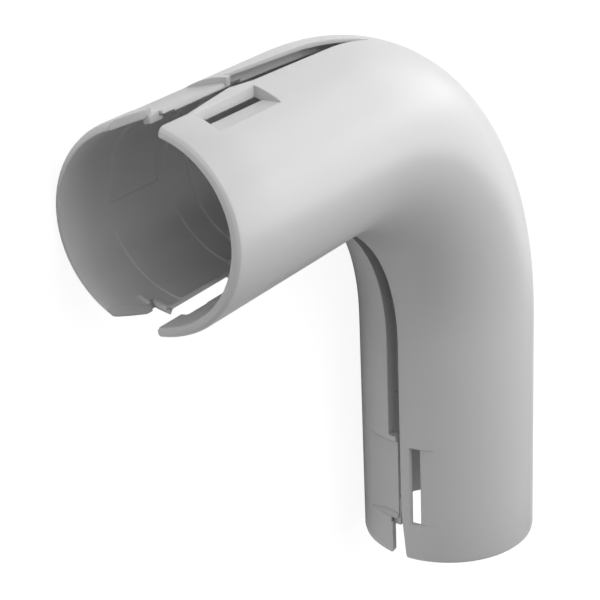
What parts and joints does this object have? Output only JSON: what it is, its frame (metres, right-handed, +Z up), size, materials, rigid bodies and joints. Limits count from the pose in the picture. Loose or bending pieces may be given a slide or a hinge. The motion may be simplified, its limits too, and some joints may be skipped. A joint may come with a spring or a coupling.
{
  "type": "conduit elbow",
  "caption": "Right-angle conduit elbow with a socket on each leg, slit along its sides so that it springs open, with a tongue and window latch beside each slit.",
  "frame": {"origin": "middle of the bounding box on the plane that the elbow lies on", "axes": "+Z up from the plane of the bend, toward the half with the windows; leg A's socket opens toward -X and leg B's toward -Y"},
  "size_m": [0.0938, 0.0938, 0.0286],
  "materials": {
    "moulding": "fine satin light grey plastic"
  },
  "bodies": {
    "root": {"elbow": "moulding"}
  },
  "joints": []
}
